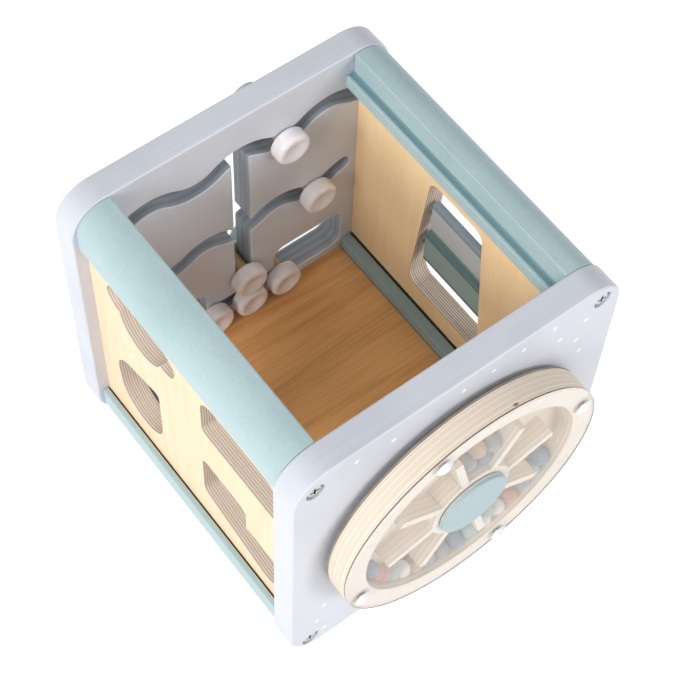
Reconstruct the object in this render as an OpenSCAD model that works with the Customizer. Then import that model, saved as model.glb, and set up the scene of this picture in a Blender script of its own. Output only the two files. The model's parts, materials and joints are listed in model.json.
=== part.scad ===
// Wooden activity cube: two painted end panels joined by four grooved rails, a bead wheel on the
// front, a knob maze at the back, a shape sorter on the left and a window with two turning boards
// on the right. Millimetres. The origin is on the ground under the middle of the cube, the wheel
// faces -Y and the open top faces +Z.

/* [Cube] */
// Width of the end panels
cube_w = 200; // [196:1:212]
// Depth over both end panels
cube_d = 200; // [190:1:240]
// Height of the end panels
cube_h = 204; // [203:1:216]
// Thickness of the end panels
panel_t = 16; // [14:0.5:18]
// Corner radius of the end panels
panel_corner_r = 22; // [16:1:24]
// Thickness of the plywood side boards
ply_t = 12.5; // [11:0.5:13]
// Distance of the side boards' outer faces from the end panels' edges
ply_setback = 7.5; // [7:0.5:8]
// Thickness of the floor board
floor_t = 6; // [4:0.5:7]

/* [Rails] */
// Distance of the rails' outer faces from the end panels' edges
rail_inset = 3; // [2:0.5:4]
// Distance of the rails' tops and undersides from the end panels' edges
rail_drop = 0.5; // [0.3:0.1:1.5]
// Radius of the rails' rounded outer corners
rail_corner_r = 17; // [15:0.5:18]
// Width of the top rails' inner lips beside the side boards
top_lip_w = 9.5; // [8:0.5:10.5]
// Width of the bottom rails' inner lips beside the side boards
low_lip_w = 8; // [6:0.5:9]
// Depth of the top rails' inner lips below the top edge
top_lip_in = 24; // [22.5:0.5:28]
// Depth of the top rails' outer lips below the top edge
top_lip_out = 28.5; // [24:0.5:34]
// Depth of the top rails' grooves' roofs below the top edge
top_groove_roof = 18; // [17:0.5:20.5]
// Depth of the lid ledge below the top edge
ledge_depth = 15.5; // [13:0.5:17]
// Width of the lid ledge
ledge_w = 5; // [3:0.5:6]
// Height of the bottom rails' inner lips
low_lip_in = 34; // [30:1:38]
// Height of the bottom rails' outer lips
low_lip_out = 29; // [25:1:33]
// Height of the bottom rails' groove floors
low_groove_floor = 22; // [21:0.5:23]
// Height of the rebate that carries the floor board
floor_rest_z = 20; // [18:0.5:21]
// Width of the rebate that carries the floor board
floor_rest_w = 8; // [5:0.5:12]
// Gap between a side board and each side of its groove
groove_gap = 0.9; // [0.3:0.1:1]

/* [Panel screws] */
// Distance of the screws from the panels' sides and top
screw_inset = 13; // [12.5:0.5:13.5]
// Height of the lower screws
screw_rise = 10.5; // [10:0.5:12]
// Diameter of the screw shanks
screw_d = 4; // [3:0.5:4.5]
// Length of the screw shanks
screw_l = 36; // [28:1:50]
// Diameter of the screw heads
screw_head_d = 9; // [7:0.5:9.5]
// Height of the screw heads
screw_head_h = 2.8; // [2:0.2:3]
// Diameter of the recesses round the screw heads
recess_d = 11; // [10:0.5:12]
// Depth of the recesses round the screw heads
recess_depth = 3.4; // [3.2:0.2:5]

/* [Bead wheel] */
// Height of the wheel's centre
wheel_z = 104; // [94:1:110]
// Outer radius of the wheel
wheel_r = 81; // [76:1:85]
// Wall of the wheel's ring
ring_wall = 14; // [12:0.5:16]
// Gap between the front panel and the wheel
wheel_gap = 3.3; // [2:0.1:6]
// Thickness of the wheel's back plate
back_plate_t = 2.4; // [2:0.2:4]
// Depth of the wheel's ring
ring_depth = 11.8; // [11:0.2:16]
// Thickness of the clear cover
cover_t = 2; // [1.5:0.1:3]
// Radius of the hub
hub_r = 25; // [23:0.5:25]
// Radius of the hub cap
cap_r = 20.8; // [16:0.2:21]
// Height of the hub cap above the clear cover
cap_rise = 1.5; // [0.5:0.1:2]
// Radius reached by the spokes
spoke_r = 54; // [48:1:55]
// Width of the spokes
spoke_w = 4.8; // [3:0.2:6]
// Depth of the spoke slots in the hub
spoke_slot = 3; // [2:0.5:4]
// Number of spokes
spoke_count = 8; // [8:1:8]
// Turn of the first spoke from level
spoke_turn = 14; // [12:1:15]
// Radius of the circle of cover rivets
rivet_circle_r = 74; // [71:0.5:76]
// Turn of the first cover rivet from level
rivet_turn = 20; // [0:1:45]
// Radius of the rivet heads
rivet_head_r = 5; // [4:0.2:5.5]
// Height of the rivet heads
rivet_head_h = 2; // [1:0.1:2.5]
// Diameter of the rivet shanks
rivet_d = 4; // [3:0.5:5]
// Diameter of the loose beads
bead_d = 9.6; // [8:0.1:9.6]

/* [Wheel bolt] */
// Diameter of the bolt's shank
bolt_d = 6; // [5:0.5:8]
// Radius of the bolt's head
bolt_head_r = 7; // [6:0.5:8]
// Height of the bolt's head
bolt_head_h = 3; // [2:0.5:4]
// Thickness of the spacer behind the wheel
spacer_t = 3; // [1.5:0.1:3]
// Radius of the spacer behind the wheel
spacer_r = 11; // [9:0.5:15]
// Thickness of the washer inside the cube
washer_t = 1.5; // [1:0.1:2]
// Width of the nut across its corners
nut_d = 11.5; // [11:0.5:14]
// Height of the nut's six-sided part
nut_h = 4; // [3:0.5:6]

/* [Knob maze] */
// Width of the slots
slot_w = 10.5; // [10:0.1:11]
// Distance of the waves and the upright slot from the panel's middle
maze_x = 2.4; // [0:0.1:3]
// Distance of the top wave's valleys from the cube's top
top_wave_drop = 39; // [38:1:43]
// Rise of the top wave
top_wave_rise = 8.8; // [7.6:0.2:10]
// Length of half a top wave
top_wave_half = 28.5; // [28:0.5:29]
// Distance of the top wave's ends from the middle
top_wave_end = 78; // [76:0.5:80]
// Height of the middle wave's valleys
mid_wave_z = 103; // [99:1:107]
// Rise of the middle wave
mid_wave_rise = 7; // [6:0.5:8.5]
// Length of half a middle wave
mid_wave_half = 24; // [23.5:0.5:25]
// Distance of the middle wave's ends from the middle
mid_wave_end = 68; // [66:0.5:70]
// Height of the bottom slot
bar_z = 39; // [38.5:0.5:43]
// Distance of the bays' near walls from the middle
bay_in = 24; // [22:0.5:27]
// Distance of the bays' far walls from the middle
bay_out = 71; // [68:0.5:72]
// Height of the bays' floors
bay_floor = 32; // [30:0.5:33]
// Height of the bays' roofs
bay_roof = 62; // [58:0.5:66]
// Corner radius of the bays
bay_corner_r = 7; // [4:0.5:9]

/* [Knobs] */
// Diameter of the knob shafts
shaft_d = 9; // [8:0.1:9.4]
// Radius of the discs inside the cube
disc_r = 10.5; // [9.5:0.1:10.5]
// Thickness of the discs inside the cube
disc_t = 9; // [7:0.5:10]
// Rounding of the discs' edges
disc_edge_r = 2.8; // [1.5:0.1:3.2]
// Radius of the round dishes in the discs
dish_r = 7; // [5:0.5:7.5]
// Depth of the round dishes in the discs
dish_depth = 3.2; // [2:0.2:4]
// Gap between the three lowest discs
low_disc_gap = 3; // [0.3:0.1:4]
// Radius of the knob heads
head_r = 10; // [8.5:0.1:10]
// Length of the knob heads
head_l = 20.8; // [16:0.1:20.8]
// Radius of the knob heads' waists
head_waist_r = 7; // [6:0.1:8]
// Gap between the knobs and the maze panel, in front and behind
knob_play = 0.7; // [0.4:0.1:1]

/* [Shape sorter] */
// Distance of the lower edges of the upper pair of shapes from the cube's top
sorter_top_drop = 80; // [78:1:82]
// Height of the lower edges of the lower pair of shapes
sorter_low_z = 38; // [36:1:40]

/* [Window] */
// Height of the window's sill
sill_z = 51; // [46:1:54]
// Height of the window
window_h = 106; // [102:1:110]
// Width of the window at its sill
window_low_w = 62; // [58:1:70]
// Width of the window at its head
window_top_w = 42; // [42:1:50]
// Corner radius of the window
window_corner_r = 7; // [3:0.5:9]
// Height of the turning boards
board_h = 26.5; // [22:0.5:28]
// Thickness of the turning boards
board_t = 5; // [4.5:0.1:6]
// Distance between the turning boards' pins
board_pitch = 31.5; // [30:0.5:36]
// Gap between the turning boards and the window's walls
board_gap = 1.5; // [1:0.1:3]
// Diameter of the boards' pins
pin_d = 2.5; // [2:0.1:3]
// Length of pin inside a board
pin_in = 12; // [8:1:16]
// Length of pin inside the window's wall
pin_out = 5; // [4:0.5:8]

/* [Hidden] */
$fn = 96;
eps = 0.01;

// Clearances: seat is the gap under a resting piece, fit is a round fit's radial clearance
seat = 0.3;
fit = 0.05;
screw_slack = 0.3;

// Width that a round cutter adds where arcs of a wave meet or end, and depth that a saw leaves at the
// straight sides of the sorter's holes
cutter_ease = 0.05;
saw_ease = 0.003;

// Places that follow from the sizes
half_w = cube_w / 2;
half_d = cube_d / 2;
inner_y = half_d - panel_t;
ply_out_x = half_w - ply_setback;
ply_in_x = ply_out_x - ply_t;
low_lip_x = ply_in_x - low_lip_w;
ledge_x = ply_in_x - top_lip_w;
rail_face_x = ledge_x + ledge_w;
rail_out_x = half_w - rail_inset;
corner_x = rail_out_x - rail_corner_r;
top_corner_z = cube_h - rail_drop - rail_corner_r;
low_corner_z = rail_drop + rail_corner_r;
groove_in_x = ply_in_x - groove_gap;
groove_out_x = ply_out_x + groove_gap;
screw_x = half_w - screw_inset;
floor_top_z = floor_rest_z + floor_t;
top_wave_z = cube_h - top_wave_drop;
sorter_top_z = cube_h - sorter_top_drop;

// Depths of the wheel's layers, counted from the front panel's face towards -Y
panel_face_y = -half_d;
wheel_back_y = panel_face_y - wheel_gap;
ring_back_y = wheel_back_y - back_plate_t;
cover_back_y = ring_back_y - ring_depth;
cover_face_y = cover_back_y - cover_t;
ring_in_r = wheel_r - ring_wall;
bolt_sink = 1.5;
bolt_head_y = cover_back_y + bolt_sink;
bolt_under_y = bolt_head_y + bolt_head_h;
washer_y = -inner_y;
nut_y = washer_y + washer_t;
bolt_end_y = nut_y + nut_h;
nut_dome_r = bolt_d / 2 + 1.2;
nut_dome_h = 0.8;
washer_r = nut_d / 2 + 2;

// Beads: a row along the bottom of the ring, one on top of the row and four in the top cell
bead_r = bead_d / 2;
bead_gap = 0.2;
bead_y = ring_back_y - bead_r - seat;
row_r = ring_in_r - bead_r - seat;
row_step = 2 * asin((bead_r + bead_gap / 2) / row_r);
row_count = 16;
row_start = 266 - row_step * (row_count - 1) / 2;
row_colours = [0, 1, 1, 2, 3, 5, 4, 4, 0, 2, 3, 3, 1, 4, 2, 0];
second_row_place = 10.5;
second_row_colour = 2;
second_row_r = row_r * cos(row_step / 2)
             - sqrt(pow(bead_d + bead_gap, 2) - pow(row_r * sin(row_step / 2), 2));
spoke_reach = spoke_w / 2 + bead_r + bead_gap;
cell_right = spoke_turn + 360 / spoke_count;
cell_left = cell_right + 360 / spoke_count;
hub_bead_r = hub_r + bead_r + seat;
hub_bead_turn = cell_right + asin(spoke_reach / hub_bead_r);
hub_bead = hub_bead_r * [cos(hub_bead_turn), sin(hub_bead_turn)];
right_bead = hub_bead + (bead_d + bead_gap) * [cos(cell_right), sin(cell_right)];
left_bead = pair_rest(hub_bead, cell_left, spoke_reach);
top_bead = upper_of(left_bead, right_bead, bead_d + bead_gap);
cell_beads = [hub_bead, left_bead, right_bead, top_bead];
cell_colours = [0, 4, 4, 5];

// Wave geometry: equal arcs, alternately hollow and humped
function wave_turn(half, rise) = 2 * atan(rise / half);
function wave_r(half, rise) = half / 2 / sin(wave_turn(half, rise));

// Knob places: each shaft rests just above its slot's lower wall
shaft_drop = (slot_w - shaft_d) / 2 - seat;
top_knob_at = [maze_x + top_wave_half, top_wave_z - shaft_drop];
mid_knob_at = [maze_x + 2 * mid_wave_half, mid_wave_z - shaft_drop];
bar_knob_z = bar_z - shaft_drop;
low_disc_step = 2 * disc_r + low_disc_gap;
disc_face_y = inner_y - knob_play - disc_t;
shaft_end_y = disc_face_y + dish_depth;
dish_ball_r = (pow(dish_r, 2) + pow(dish_depth, 2)) / 2 / dish_depth;
head_y = half_d + knob_play;
head_wall = 5;
shaft_tip_y = head_y + head_l - head_wall;

// Turning boards: pins lie in the middle of the window panel's thickness
board_x = (ply_in_x + ply_out_x) / 2;
window_mid_z = sill_z + window_h / 2;
upper_pin_z = window_mid_z + board_pitch / 2;
lower_pin_z = window_mid_z - board_pitch / 2;
board_edge_r = board_t * 0.4;

PANEL_GREY = [0.83, 0.85, 0.89];
MINT = [0.70, 0.80, 0.82];
PLY = [0.90, 0.76, 0.56];
BIRCH = [0.91, 0.85, 0.75];
STEEL = [0.75, 0.75, 0.76];
MILK = [0.93, 0.91, 0.90];
BEAD_PAINT = [[0.55, 0.64, 0.68], [0.78, 0.55, 0.48], [0.80, 0.86, 0.84],
              [0.94, 0.93, 0.90], [0.56, 0.56, 0.60], [0.86, 0.70, 0.50]];

// A bead that touches a placed bead and the underside of the spoke at the given turn
function pair_rest(bead, turn, reach) =
    let (along = [cos(turn), sin(turn)],
         base = reach * [sin(turn), -cos(turn)],
         off = base - bead,
         b = off * along,
         c = off * off - pow(bead_d + bead_gap, 2))
    base + (-b + sqrt(b * b - c)) * along;

// The bead that rests on two others, a step away from both
function upper_of(p, q, step) =
    let (mid = (p + q) / 2, half = norm(q - p) / 2, side = (q - p) / norm(q - p))
    mid + sqrt(step * step - half * half) * [-side[1], side[0]];

// Outward direction of the tangent from one rounded corner to the next, corners run anticlockwise
function tangent_turn(a, b) =
    atan2(b[1] - a[1], b[0] - a[0]) - acos((a[2] - b[2]) / norm([b[0] - a[0], b[1] - a[1]]));
function on_corner(c, turn) = [c[0] + c[2] * cos(turn), c[1] + c[2] * sin(turn)];

// Convex outline whose corners are [x, y, radius], anticlockwise
module soft_outline(corners, ease = 0) {
    count = len(corners);
    polygon([for (i = [0:count - 1], k = [0, 1])
        let (a = corners[i], b = corners[(i + 1) % count], c = k == 0 ? a : b)
        on_corner([c[0], c[1], c[2] - ease], tangent_turn(a, b))]);
    for (c = corners) translate([c[0], c[1]]) circle(c[2]);
}

function box_corners(x0, x1, y0, y1, r) =
    [[x0 + r, y0 + r, r], [x1 - r, y0 + r, r], [x1 - r, y1 - r, r], [x0 + r, y1 - r, r]];

// Stands an X-Z drawing upright, from y_back towards -Y
module upright(y_back, t) {
    translate([0, y_back, 0]) rotate([90, 0, 0]) linear_extrude(height = t) children();
}

// Stands a Y-Z drawing upright, from x_left towards +X
module sideways(x_left, t) {
    translate([x_left, 0, 0]) rotate([90, 0, 90]) linear_extrude(height = t) children();
}

// Round bar along Y, from y0 to y1
module bar_y(x, z, r, y0, y1) {
    translate([x, y1, z]) rotate([90, 0, 0]) cylinder(r = r, h = y1 - y0);
}

// Round bar along Y across both faces of what it cuts
module drill_y(x, z, r, y0, y1) {
    bar_y(x, z, r, y0 - eps, y1 + eps);
}

// Turned shape about a Y axis: the drawing's x is the radius, its y runs towards -Y
module turned(x, y, z) {
    translate([x, y, z]) rotate([90, 0, 0]) rotate_extrude() children();
}

module at_screws() {
    for (x = [-screw_x, screw_x], z = [screw_rise, cube_h - screw_inset])
        translate([x, 0, z]) children();
}

module panel_outline() {
    soft_outline(box_corners(-half_w, half_w, 0, cube_h, panel_corner_r));
}

// Holes for the screws; side is -1 for the front panel and 1 for the rear panel
module screw_holes(side) {
    face = side * half_d;
    floor_y = face - side * recess_depth;
    at_screws() {
        drill_y(0, 0, screw_d / 2 + screw_slack, min(floor_y, side * inner_y),
                max(floor_y, side * inner_y));
        drill_y(0, 0, recess_d / 2, min(face, floor_y) + (side > 0 ? eps : 0),
                max(face, floor_y) - (side > 0 ? 0 : eps));
    }
}

module front_panel() {
    color(PANEL_GREY) difference() {
        upright(-inner_y, panel_t) panel_outline();
        screw_holes(-1);
        drill_y(0, wheel_z, bolt_d / 2 + fit, -half_d, -inner_y);
    }
}

// Part of a round slot, bent about a centre
module arc_slot(at, r, from, to) {
    far = 3 * r;
    translate(at) intersection() {
        difference() {
            circle(r + slot_w / 2);
            circle(r - slot_w / 2);
        }
        polygon([[0, 0], far * [cos(from), sin(from)],
                 far * [cos((from + to) / 2), sin((from + to) / 2)], far * [cos(to), sin(to)]]);
    }
}

// One valley or hump of a wave slot, up = 1 for a valley and -1 for a hump
module wave_piece(x, z, half, rise, up) {
    r = wave_r(half, rise);
    turn = wave_turn(half, rise);
    mid = [x, z + up * r];
    ends = [-up * 90 - turn, -up * 90 + turn];
    arc_slot(mid, r, ends[0], ends[1]);
    for (end = ends) translate(mid + r * [cos(end), sin(end)]) circle(slot_w / 2 + cutter_ease);
}

// Outer end of a wave slot, on the piece centred at x, ending at end_x with a round end
module wave_end(x, z, half, rise, up, end_x) {
    r = wave_r(half, rise);
    turn = wave_turn(half, rise);
    stop = asin((x - end_x) / r);
    mid = [x, z + up * r];
    last = -up * 90 - up * stop;
    first = -up * 90 - up * turn;
    arc_slot(mid, r, min(first, last), max(first, last));
    translate(mid + r * [cos(last), sin(last)]) circle(slot_w / 2 + cutter_ease);
}

// Right half of the waves; the left half is its mirror image
module half_waves() {
    crest = top_wave_z + top_wave_rise;
    wave_piece(top_wave_half, top_wave_z, top_wave_half, top_wave_rise, 1);
    wave_piece(2 * top_wave_half, crest, top_wave_half, top_wave_rise, -1);
    wave_end(3 * top_wave_half, top_wave_z, top_wave_half, top_wave_rise, 1, top_wave_end);
    hump = mid_wave_z + mid_wave_rise;
    wave_piece(mid_wave_half, hump, mid_wave_half, mid_wave_rise, -1);
    wave_piece(2 * mid_wave_half, mid_wave_z, mid_wave_half, mid_wave_rise, 1);
    wave_end(3 * mid_wave_half, hump, mid_wave_half, mid_wave_rise, -1, mid_wave_end);
}

// Right bay with its half of the bottom slot
module half_bays() {
    translate([0, bar_z - slot_w / 2]) square([bay_in + bay_corner_r, slot_w]);
    soft_outline(box_corners(bay_in, bay_out, bay_floor, bay_roof, bay_corner_r));
}

module maze_slots() {
    half_bays();
    mirror([1, 0]) half_bays();
    translate([maze_x, 0]) {
        half_waves();
        mirror([1, 0]) half_waves();
        wave_piece(0, top_wave_z + top_wave_rise, top_wave_half, top_wave_rise, -1);
        wave_piece(0, mid_wave_z, mid_wave_half, mid_wave_rise, 1);
        translate([-slot_w / 2, bar_z]) square([slot_w, top_wave_z + top_wave_rise - bar_z]);
    }
}

module rear_panel() {
    color(PANEL_GREY) difference() {
        upright(half_d, panel_t) difference() {
            panel_outline();
            maze_slots();
        }
        screw_holes(1);
    }
}

// Quarter of a disc, the rails' rounded outer corner; up is 1 for a top rail and -1 for a bottom one
module rail_corner(z, up) {
    translate([corner_x, z]) intersection() {
        circle(rail_corner_r);
        translate([0, up > 0 ? 0 : -rail_corner_r]) square(rail_corner_r);
    }
}

// Cross-section of the right top rail
module top_rail_section() {
    out_z = cube_h - top_lip_out;
    difference() {
        union() {
            rail_corner(top_corner_z, 1);
            translate([rail_face_x, top_corner_z]) square([corner_x - rail_face_x, rail_corner_r]);
            translate([rail_face_x, out_z])
                square([rail_out_x - rail_face_x, top_corner_z - out_z]);
            translate([ledge_x, cube_h - top_lip_in]) square([ledge_w, top_lip_in - ledge_depth]);
        }
        translate([groove_in_x, 0]) square([groove_out_x - groove_in_x, cube_h - top_groove_roof]);
        square([groove_in_x + eps, cube_h - top_lip_in]);
    }
}

// Cross-section of the right bottom rail
module bottom_rail_section() {
    difference() {
        union() {
            rail_corner(low_corner_z, -1);
            translate([low_lip_x - floor_rest_w, rail_drop])
                square([corner_x - low_lip_x + floor_rest_w, floor_rest_z - rail_drop]);
            translate([low_lip_x, rail_drop]) square([corner_x - low_lip_x, low_lip_in - rail_drop]);
            translate([corner_x, low_corner_z])
                square([rail_out_x - corner_x, low_lip_in - low_corner_z]);
        }
        translate([groove_in_x, low_groove_floor])
            square([groove_out_x - groove_in_x, cube_h]);
        translate([groove_out_x - eps, low_lip_out]) square([half_w, cube_h]);
    }
}

// Pilot bores for the screws in both ends of the rails
module rail_bores(z) {
    reach = half_d - recess_depth - screw_l;
    drill_y(screw_x, z, screw_d / 2 + fit, -inner_y, -reach + seat);
    drill_y(screw_x, z, screw_d / 2 + fit, reach - seat, inner_y);
}

module top_right_rail() {
    color(MINT) difference() {
        upright(inner_y, 2 * inner_y) top_rail_section();
        rail_bores(cube_h - screw_inset);
    }
}

module top_left_rail() {
    mirror([1, 0, 0]) top_right_rail();
}

module bottom_right_rail() {
    color(MINT) difference() {
        upright(inner_y, 2 * inner_y) bottom_rail_section();
        rail_bores(screw_rise);
    }
}

module bottom_left_rail() {
    mirror([1, 0, 0]) bottom_right_rail();
}

module floor_panel() {
    color(PLY) translate([-low_lip_x + seat, -inner_y, floor_rest_z])
        cube([2 * (low_lip_x - seat), 2 * inner_y, floor_t]);
}

module side_board_outline() {
    translate([-inner_y, low_groove_floor])
        square([2 * inner_y, cube_h - top_groove_roof - seat - low_groove_floor]);
}

// Outlines of the sorter's holes, as corners [y, z, radius] above each row's lower edge
loaf = [[-75, 4, 4], [-17, 4, 4], [-25, 23, 12], [-67, 23, 12]];
cloud_lobes = [[19.5, 25, 10.5], [40, 21.5, 18.5], [59.5, 29, 9], [30, 35, 10], [50, 35, 11]];
boot_leg = [[-45, 22, 5], [-16.5, 22, 5], [-16.5, 48, 5], [-45, 48, 5]];
boot_foot = [[-66, 13, 11], [-18, 21, 6.5], [-22, 28, 6], [-73, 29, 5]];
leaf = [[47, 25, 19.5], [50, 37.5, 18], [30.5, 58.5, 3]];

module sorter_holes() {
    translate([0, sorter_top_z]) {
        soft_outline(loaf, saw_ease);
        for (lobe = cloud_lobes) translate([lobe[0], lobe[1]]) circle(lobe[2]);
    }
    translate([0, sorter_low_z]) {
        soft_outline(boot_leg, saw_ease);
        soft_outline(boot_foot, saw_ease);
        soft_outline(leaf, saw_ease);
    }
}

module shape_sorter_panel() {
    color(PLY) sideways(-ply_out_x, ply_t) difference() {
        side_board_outline();
        sorter_holes();
    }
}

// Half of the window's width at a height, between its sill and its head
function window_half(z) =
    (window_low_w + (window_top_w - window_low_w) * (z - sill_z) / window_h) / 2;

module window_outline() {
    r = window_corner_r;
    head_z = sill_z + window_h;
    low = window_half(sill_z + r) - r;
    high = window_half(head_z - r) - r;
    soft_outline([[-low, sill_z + r, r], [low, sill_z + r, r],
                  [high, head_z - r, r], [-high, head_z - r, r]]);
}

function board_half(pin_z) = window_half(pin_z + board_h / 2) - board_gap;
function pin_tip(pin_z) = board_half(pin_z) + board_gap + pin_out;

module window_panel() {
    color(PLY) difference() {
        sideways(ply_in_x, ply_t) difference() {
            side_board_outline();
            window_outline();
        }
        for (z = [lower_pin_z, upper_pin_z])
            bar_y(board_x, z, pin_d / 2 + fit, -pin_tip(z) - seat, pin_tip(z) + seat);
    }
}

// Board that turns about its level pin, its long edges rounded
module turning_board(pin_z) {
    half = board_half(pin_z);
    difference() {
        upright(half, 2 * half) soft_outline(box_corners(board_x - board_t / 2,
            board_x + board_t / 2, pin_z - board_h / 2, pin_z + board_h / 2, board_edge_r));
        for (side = [-1, 1])
            bar_y(board_x, pin_z, pin_d / 2 + fit, min(side * (half + eps), side * (half - pin_in)),
                  max(side * (half + eps), side * (half - pin_in)));
    }
}

module board_pins(pin_z) {
    half = board_half(pin_z);
    for (side = [-1, 1])
        bar_y(board_x, pin_z, pin_d / 2, min(side * pin_tip(pin_z), side * (half - pin_in)),
              max(side * pin_tip(pin_z), side * (half - pin_in)));
}

module upper_board() { color([0.80, 0.82, 0.83]) turning_board(upper_pin_z); }
module upper_board_pins() { color(STEEL) board_pins(upper_pin_z); }
module lower_board() { color([0.55, 0.66, 0.65]) turning_board(lower_pin_z); }
module lower_board_pins() { color(STEEL) board_pins(lower_pin_z); }

// Pan-head screw with a cross recess, its head towards -Y and its seat at y = 0
module panel_screw() {
    crown = 1.2;
    cross_l = 5.2;
    cross_w = 1.1;
    cross_depth = 1.8;
    rim_h = screw_head_h - crown;
    color(STEEL) difference() {
        union() {
            bar_y(0, 0, screw_d / 2, -eps, screw_l);
            turned(0, 0, 0) {
                square([screw_head_d / 2, rim_h]);
                translate([0, rim_h - eps]) square([screw_head_d / 2 - crown, crown + eps]);
                translate([screw_head_d / 2 - crown, rim_h]) intersection() {
                    circle(crown);
                    square(crown);
                }
            }
        }
        for (turn = [0, 90]) translate([0, -screw_head_h, 0]) rotate([0, turn, 0])
            cube([cross_l, 2 * cross_depth, cross_w], center = true);
    }
}

module front_screws() {
    at_screws() translate([0, -half_d + recess_depth, 0]) panel_screw();
}

module rear_screws() {
    at_screws() translate([0, half_d - recess_depth, 0]) rotate([0, 0, 180]) panel_screw();
}

// Bolt that the wheel turns on, held by a nut inside the cube
module wheel_bolt() {
    color(STEEL) {
        bar_y(0, wheel_z, bolt_head_r, bolt_head_y, bolt_under_y);
        bar_y(0, wheel_z, bolt_d / 2, bolt_under_y - eps, bolt_end_y);
    }
}

// Flat ring on the bolt, from y0 to y1
module bolt_ring(r, y0, y1) {
    difference() {
        bar_y(0, wheel_z, r, y0, y1);
        drill_y(0, wheel_z, bolt_d / 2 + fit, y0, y1);
    }
}

module wheel_spacer() { color(MILK) bolt_ring(spacer_r, panel_face_y - spacer_t, panel_face_y); }
module wheel_washer() { color(STEEL) bolt_ring(washer_r, washer_y, nut_y); }

module wheel_nut() {
    color(STEEL) difference() {
        union() {
            translate([0, nut_y + nut_h, wheel_z]) rotate([90, 0, 0])
                cylinder(d = nut_d, h = nut_h, $fn = 6);
            bar_y(0, wheel_z, nut_dome_r, nut_y + nut_h - eps, nut_y + nut_h + nut_dome_h);
        }
        bar_y(0, wheel_z, bolt_d / 2 + fit, nut_y - eps, nut_y + nut_h);
    }
}

module wheel_back_plate() {
    color(BIRCH) bolt_ring(wheel_r, ring_back_y, wheel_back_y);
}

module at_rivets() {
    for (i = [0:3]) rotate([0, -rivet_turn - 90 * i, 0]) translate([rivet_circle_r, 0, 0]) children();
}

// Ring round the beads, with blind holes for the rivets
module wheel_ring() {
    color(BIRCH) difference() {
        bar_y(0, wheel_z, wheel_r, cover_back_y, ring_back_y);
        drill_y(0, wheel_z, ring_in_r, cover_back_y, ring_back_y);
        translate([0, 0, wheel_z]) at_rivets()
            bar_y(0, 0, rivet_d / 2 + fit, cover_back_y - eps, ring_back_y - seat);
    }
}

module at_spokes() {
    for (i = [0:spoke_count - 1])
        translate([0, 0, wheel_z]) rotate([0, -spoke_turn - i * 360 / spoke_count, 0]) children();
}

module wheel_hub() {
    color(BIRCH) difference() {
        bar_y(0, wheel_z, hub_r, cover_back_y, ring_back_y);
        drill_y(0, wheel_z, bolt_d / 2 + fit, cover_back_y, ring_back_y);
        bar_y(0, wheel_z, bolt_head_r + fit, cover_back_y - eps, bolt_under_y);
        at_spokes() translate([hub_r - spoke_slot, cover_back_y - eps, -spoke_w / 2 - fit])
            cube([2 * spoke_slot, ring_depth + 2 * eps, spoke_w + 2 * fit]);
    }
}

module wheel_spokes() {
    color(BIRCH) at_spokes() translate([hub_r - spoke_slot, cover_back_y, -spoke_w / 2])
        cube([spoke_r - hub_r + spoke_slot, ring_depth, spoke_w]);
}

module wheel_cover() {
    color([0.93, 0.90, 0.86, 0.35]) difference() {
        bar_y(0, wheel_z, wheel_r, cover_face_y, cover_back_y);
        drill_y(0, wheel_z, cap_r + fit, cover_face_y, cover_back_y);
        translate([0, 0, wheel_z]) at_rivets()
            drill_y(0, 0, rivet_d / 2 + fit, cover_face_y, cover_back_y);
    }
}

module hub_cap() {
    edge = 0.8;
    rise = cover_t + cap_rise;
    color(MINT) turned(0, cover_back_y, wheel_z) {
        square([cap_r, rise - edge]);
        square([cap_r - edge, rise]);
        translate([cap_r - edge, rise - edge]) intersection() {
            circle(edge);
            square(edge);
        }
    }
}

// Domed rivets that hold the clear cover on the ring
module cover_rivets() {
    dome_r = (pow(rivet_head_r, 2) + pow(rivet_head_h, 2)) / 2 / rivet_head_h;
    color(MILK) translate([0, 0, wheel_z]) at_rivets() {
        bar_y(0, 0, rivet_d / 2, cover_face_y - eps, ring_back_y - 2 * seat);
        turned(0, cover_face_y, 0) intersection() {
            translate([0, rivet_head_h - dome_r]) circle(dome_r);
            square(rivet_head_r);
        }
    }
}

module one_bead(x, z) {
    translate([x, bead_y, wheel_z + z]) sphere(d = bead_d);
}

// All loose beads of one colour
module beads(tint) {
    color(BEAD_PAINT[tint]) {
        for (i = [0:row_count - 1]) if (row_colours[i] == tint)
            one_bead(row_r * cos(row_start + i * row_step), row_r * sin(row_start + i * row_step));
        if (second_row_colour == tint)
            one_bead(second_row_r * cos(row_start + second_row_place * row_step),
                     second_row_r * sin(row_start + second_row_place * row_step));
        for (i = [0:3]) if (cell_colours[i] == tint) one_bead(cell_beads[i][0], cell_beads[i][1]);
    }
}

module beads_blue() { beads(0); }
module beads_rose() { beads(1); }
module beads_mint() { beads(2); }
module beads_white() { beads(3); }
module beads_grey() { beads(4); }
module beads_tan() { beads(5); }

// Turned knob head outside the cube: a foot, a waist and a rounded cap
module knob_head(at) {
    foot_h = 3;
    foot_flare = 1.5;
    cap_h = 9;
    round_r = 3;
    color(MINT) difference() {
        turned(at[0], head_y + head_l, at[1]) {
            square([head_r - round_r, cap_h]);
            translate([0, round_r]) square([head_r, cap_h - 2 * round_r]);
            for (y = [round_r, cap_h - round_r]) translate([head_r - round_r, y]) circle(round_r);
            square([head_waist_r, head_l]);
            translate([0, head_l - foot_h]) square([head_waist_r + foot_flare, foot_h]);
        }
        bar_y(at[0], at[1], shaft_d / 2 + fit, head_y - eps, shaft_tip_y);
    }
}

module knob_shaft(at) {
    color(BIRCH) bar_y(at[0], at[1], shaft_d / 2, shaft_end_y, shaft_tip_y);
}

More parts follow.
